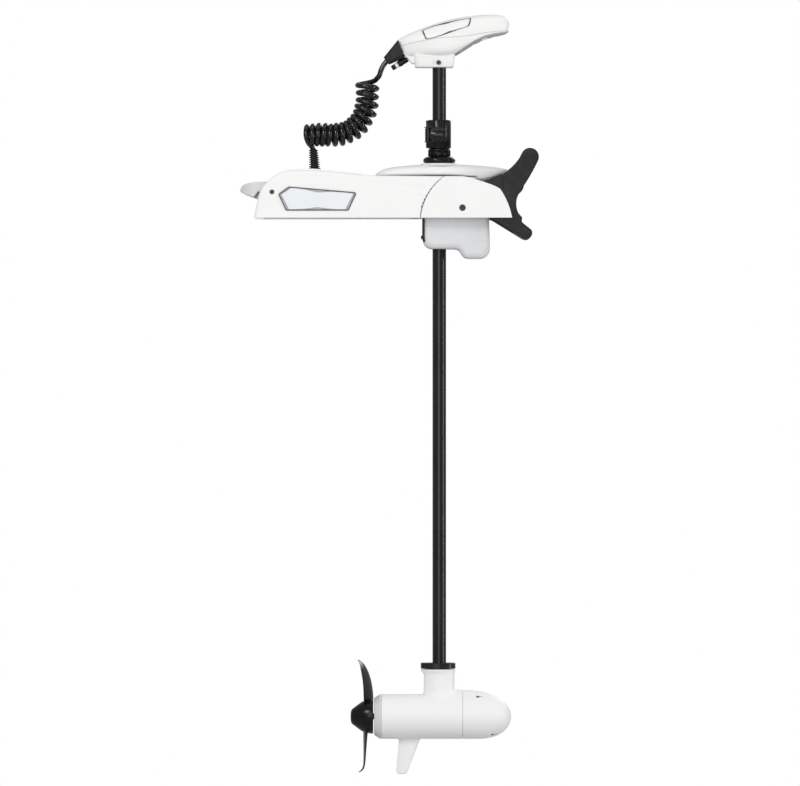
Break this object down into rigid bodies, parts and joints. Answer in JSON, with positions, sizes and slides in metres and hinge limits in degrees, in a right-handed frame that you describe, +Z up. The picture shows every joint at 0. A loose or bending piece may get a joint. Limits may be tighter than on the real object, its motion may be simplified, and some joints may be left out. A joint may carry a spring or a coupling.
{
  "type": "trolling motor",
  "caption": "Bow-mount electric-steer trolling motor: deck mount with release pedal and ramps, sliding shaft in a tilting steering unit, control head, coiled cord, motor pod and propeller.",
  "frame": {"origin": "centre of the deck bolt pattern on the underside of the base rail", "axes": "+X outboard over the bow, +Z up along the deployed shaft, starboard is -Y"},
  "size_m": [0.6259, 0.174, 1.595],
  "materials": {
    "white_plastic": "satin moulded",
    "light_grey_plastic": "satin moulded",
    "black_plastic": "fine texture",
    "black_shaft": "gloss composite",
    "black_rubber": "matte",
    "cord_jacket": "gloss",
    "badge_frame": "satin",
    "badge_plate": "metallic silver",
    "aluminium": "anodised",
    "steel": "stainless",
    "bronze": "sintered",
    "grey_trim": "matte",
    "motor_metal": "zinc",
    "board_green": "solder mask",
    "magnet": "ferrite",
    "copper": "windings",
    "clear_plastic": "clear",
    "pod_white": "powder coat"
  },
  "bodies": {
    "mount": {"base_rail": "aluminium", "side_plate_starboard": "aluminium", "side_plate_port": "aluminium", "side_cover_starboard": "white_plastic", "side_cover_port": "white_plastic", "end_cover_starboard": "white_plastic", "end_cover_port": "white_plastic", "end_cover_screws": "steel", "deck_cover": "white_plastic", "strain_relief": "black_rubber", "side_badge_frames": "badge_frame", "side_badge_plates": "badge_plate", "motor_ramp_starboard": "black_rubber", "motor_ramp_port": "black_rubber", "tilt_pivot_pin": "steel", "tilt_bushes": "bronze", "pedal_pivot_pin": "steel", "latch_guide": "black_plastic", "cord_coil": "cord_jacket", "cord_leads": "cord_jacket"},
    "release_pedal": {"release_pedal": "light_grey_plastic", "pedal_pad": "grey_trim"},
    "latch_bolt": {"latch_bolt": "steel"},
    "tilt_housing": {"steering_case": "light_grey_plastic", "case_seal": "black_rubber", "dome_cover": "white_plastic", "sleeve_bearings": "grey_trim", "steering_motor": "motor_metal", "motor_bracket": "aluminium", "case_screws": "steel"},
    "steer_sleeve": {"steer_sleeve": "grey_trim", "steer_gear": "steel"},
    "steer_pinion": {"steer_pinion": "steel"},
    "depth_collar": {"depth_collar": "black_plastic", "lever_pin": "steel"},
    "collar_lever": {"collar_lever": "black_plastic"},
    "shaft_unit": {"shaft_tube": "black_shaft", "head_top_shell": "white_plastic", "head_lower_shell": "white_plastic", "head_trim": "grey_trim", "head_badge_frame": "badge_frame", "circuit_board": "board_green", "head_screws": "steel", "cord_boot": "black_rubber", "connector_body": "black_plastic", "connector_ring": "clear_plastic", "connector_cap": "black_plastic", "pod_collar": "black_plastic", "motor_housing": "pod_white", "pod_nose": "pod_white", "rear_bell": "pod_white", "motor_bearings": "bronze", "magnets": "magnet", "brush_plate": "black_plastic", "through_bolts": "steel"},
    "prop_drive": {"armature": "copper", "armature_shaft": "steel", "propeller": "black_plastic", "prop_nut": "black_plastic"}
  },
  "joints": [
    {"name": "tilt", "type": "hinge", "parent": "mount", "child": "tilt_housing", "pos_m": [0.105, 0, 0.053], "axis": [0, -1, 0], "range_deg": [0, 78], "deforming": ["cord_coil", "cord_leads"]},
    {"name": "pedal", "type": "hinge", "parent": "mount", "child": "release_pedal", "pos_m": [-0.131, 0, 0.0536], "axis": [0, -1, 0], "range_deg": [0, 14], "stiffness_Nm_per_rad": 4, "springref_deg": -8.59},
    {"name": "latch", "type": "slide", "parent": "mount", "child": "latch_bolt", "axis": [-1, 0, 0], "range_m": [0, 0.006]},
    {"name": "steer", "type": "hinge", "parent": "tilt_housing", "child": "steer_sleeve", "pos_m": [0.219, 0, 0], "axis": [0, 0, 1], "range_deg": [-180, 180]},
    {"name": "pinion_spin", "type": "hinge", "parent": "tilt_housing", "child": "steer_pinion", "pos_m": [0.261, 0, 0], "axis": [0, 0, 1], "range_deg": [-381, 381]},
    {"name": "lift", "type": "slide", "parent": "steer_sleeve", "child": "depth_collar", "axis": [0, 0, 1], "range_m": [0, 0.42]},
    {"name": "lever", "type": "hinge", "parent": "depth_collar", "child": "collar_lever", "pos_m": [0.1955, -0.019, 0.175], "axis": [0, 0, -1], "range_deg": [0, 100]},
    {"name": "depth", "type": "slide", "parent": "depth_collar", "child": "shaft_unit", "axis": [0, 0, 1], "range_m": [-0.02, 0.15]},
    {"name": "prop_spin", "type": "hinge", "parent": "shaft_unit", "child": "prop_drive", "pos_m": [0.06, 0, -1.0456], "axis": [1, 0, 0], "continuous": true}
  ],
  "couplings": [
    {"joint": "latch", "follows": "pedal", "m_per_rad": 0.022},
    {"joint": "pinion_spin", "follows": "steer", "ratio": -2.1111}
  ]
}
